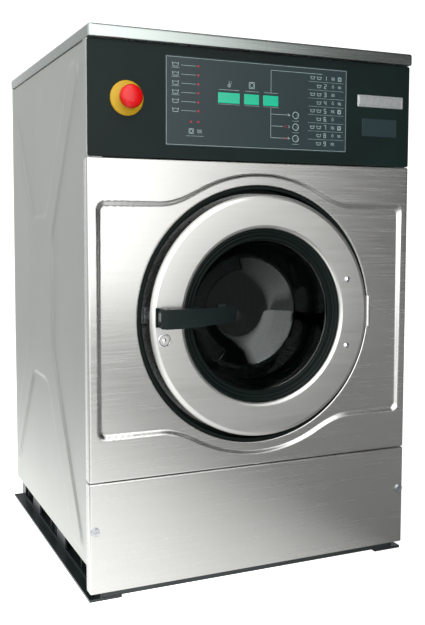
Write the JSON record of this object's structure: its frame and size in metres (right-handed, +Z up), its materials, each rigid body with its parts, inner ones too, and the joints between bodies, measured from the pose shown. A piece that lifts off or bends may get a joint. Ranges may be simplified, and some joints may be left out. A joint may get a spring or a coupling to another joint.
{
  "type": "front-loading washer extractor",
  "caption": "Free-standing commercial front-loading washer extractor with a round glass door, lever handle, sloped-corner steel cabinet, dark control panel and sprung tub.",
  "frame": {"origin": "on the floor at the centre of the four floor bolts, which is the centre of the cabinet's footprint", "axes": "+X to the viewer's right when facing the door, +Y to the back, +Z up"},
  "size_m": [0.66, 0.742, 1.0115],
  "materials": {
    "stainless_brushed": "brushed, fine grain",
    "stainless_pressed": "satin pressed sheet",
    "zinc_plated": "zinc plated",
    "chrome_plated": "polished",
    "black_paint": "powder coat",
    "grey_paint": "machine enamel",
    "control_paint": "fine texture",
    "overlay_film": "matt film",
    "display_plastic": "tinted window",
    "key_plastic": "satin",
    "red_plastic": "gloss",
    "yellow_plastic": "satin",
    "black_plastic": "fine texture",
    "grey_plastic": "moulded",
    "black_rubber": "moulded",
    "grey_rubber": "moulded",
    "clear_glass": "clear",
    "cast_iron": "cast",
    "aluminium_cast": "machined casting",
    "brass_fitting": "machined",
    "board_green": "laminate"
  },
  "bodies": {
    "cabinet": {"base_side_rails": "black_paint", "base_cross_beams": "black_paint", "cabinet_frame": "zinc_plated", "side_panel_left": "stainless_pressed", "side_panel_right": "stainless_pressed", "front_panel": "stainless_brushed", "door_gap_seal": "black_rubber", "lower_panel": "stainless_brushed", "rear_panel": "stainless_pressed", "panel_fasteners": "chrome_plated", "top_lid": "stainless_brushed", "soap_box": "grey_plastic", "control_housing": "stainless_pressed", "control_fascia": "control_paint", "control_overlay": "overlay_film", "display_windows": "display_plastic", "estop_plate": "yellow_plastic", "estop_contact_block": "black_plastic", "control_board": "board_green", "drive_unit": "zinc_plated", "water_valves": "brass_fitting", "cable_gland": "black_plastic", "damper_cylinders": "black_paint", "drain_valve": "grey_plastic"},
    "tub": {"tub_shell": "stainless_pressed", "tub_front_plate": "stainless_pressed", "tub_mouth_seal": "grey_rubber", "bearing_housing": "cast_iron", "bearings": "chrome_plated", "tub_cradle": "black_paint", "motor_body": "grey_paint", "drive_belt": "black_rubber", "damper_rods": "chrome_plated", "suspension_springs": "zinc_plated", "drain_bellows": "black_rubber", "fill_hose": "black_rubber", "door_catch": "zinc_plated", "hinge_bracket": "black_paint"},
    "drum": {"drum_shell": "stainless_pressed", "drum_lifters": "stainless_pressed", "drum_shaft": "zinc_plated", "drum_pulley": "aluminium_cast"},
    "motor_rotor": {"motor_pulley": "aluminium_cast"},
    "door": {"door_ring": "stainless_brushed", "door_frame": "black_plastic", "door_glass": "clear_glass", "glass_gasket": "black_rubber", "hinge_arm": "stainless_brushed", "door_pins": "zinc_plated", "hinge_bolts": "chrome_plated", "lock_barrel": "chrome_plated", "handle_bracket": "black_plastic"},
    "handle": {"handle_lever": "black_plastic", "latch_hook": "zinc_plated"},
    "soap_flap": {"soap_lid": "black_plastic"},
    "select_key": {"key_select": "key_plastic"},
    "start_key": {"key_start": "key_plastic"},
    "eco_key": {"key_eco": "key_plastic"},
    "stop_stem": {"estop_stem": "grey_plastic"},
    "stop_head": {"estop_head": "red_plastic"}
  },
  "joints": [
    {"name": "tub_float", "type": "slide", "parent": "cabinet", "child": "tub", "axis": [0, 0, 1], "range_m": [-0.006, 0.006], "stiffness_N_per_m": 30000, "springref_m": 0.03, "deforming": ["suspension_springs", "drain_bellows", "fill_hose"]},
    {"name": "drum_spin", "type": "hinge", "parent": "tub", "child": "drum", "pos_m": [0, 0.143, 0.49675], "axis": [0, 1, 0], "continuous": true},
    {"name": "motor_spin", "type": "hinge", "parent": "tub", "child": "motor_rotor", "pos_m": [0.095, 0.22, 0.124], "axis": [0, 1, 0], "continuous": true},
    {"name": "door_swing", "type": "hinge", "parent": "tub", "child": "door", "pos_m": [0.232, -0.328, 0.49675], "axis": [0, 0, 1], "range_deg": [0, 150]},
    {"name": "handle_turn", "type": "hinge", "parent": "door", "child": "handle", "pos_m": [-0.204, -0.358, 0.50275], "axis": [0, 0, -1], "range_deg": [0, 25], "stiffness_Nm_per_rad": 1.5},
    {"name": "soap_flap_lift", "type": "hinge", "parent": "cabinet", "child": "soap_flap", "pos_m": [-0.14, 0.068, 1.0065], "axis": [-1, 0, 0], "range_deg": [0, 105]},
    {"name": "select_press", "type": "slide", "parent": "cabinet", "child": "select_key", "axis": [0, 1, 0], "range_m": [0, 0.0006], "stiffness_N_per_m": 200},
    {"name": "start_press", "type": "slide", "parent": "cabinet", "child": "start_key", "axis": [0, 1, 0], "range_m": [0, 0.0006], "stiffness_N_per_m": 200},
    {"name": "eco_press", "type": "slide", "parent": "cabinet", "child": "eco_key", "axis": [0, 1, 0], "range_m": [0, 0.0006], "stiffness_N_per_m": 200},
    {"name": "stop_push", "type": "slide", "parent": "cabinet", "child": "stop_stem", "axis": [0, 1, 0], "range_m": [0, 0.004]},
    {"name": "stop_twist", "type": "hinge", "parent": "stop_stem", "child": "stop_head", "pos_m": [-0.2595, -0.34, 0.8805], "axis": [0, -1, 0], "range_deg": [0, 30], "stiffness_Nm_per_rad": 0.08}
  ],
  "couplings": [
    {"joint": "motor_spin", "follows": "drum_spin", "ratio": 5}
  ]
}
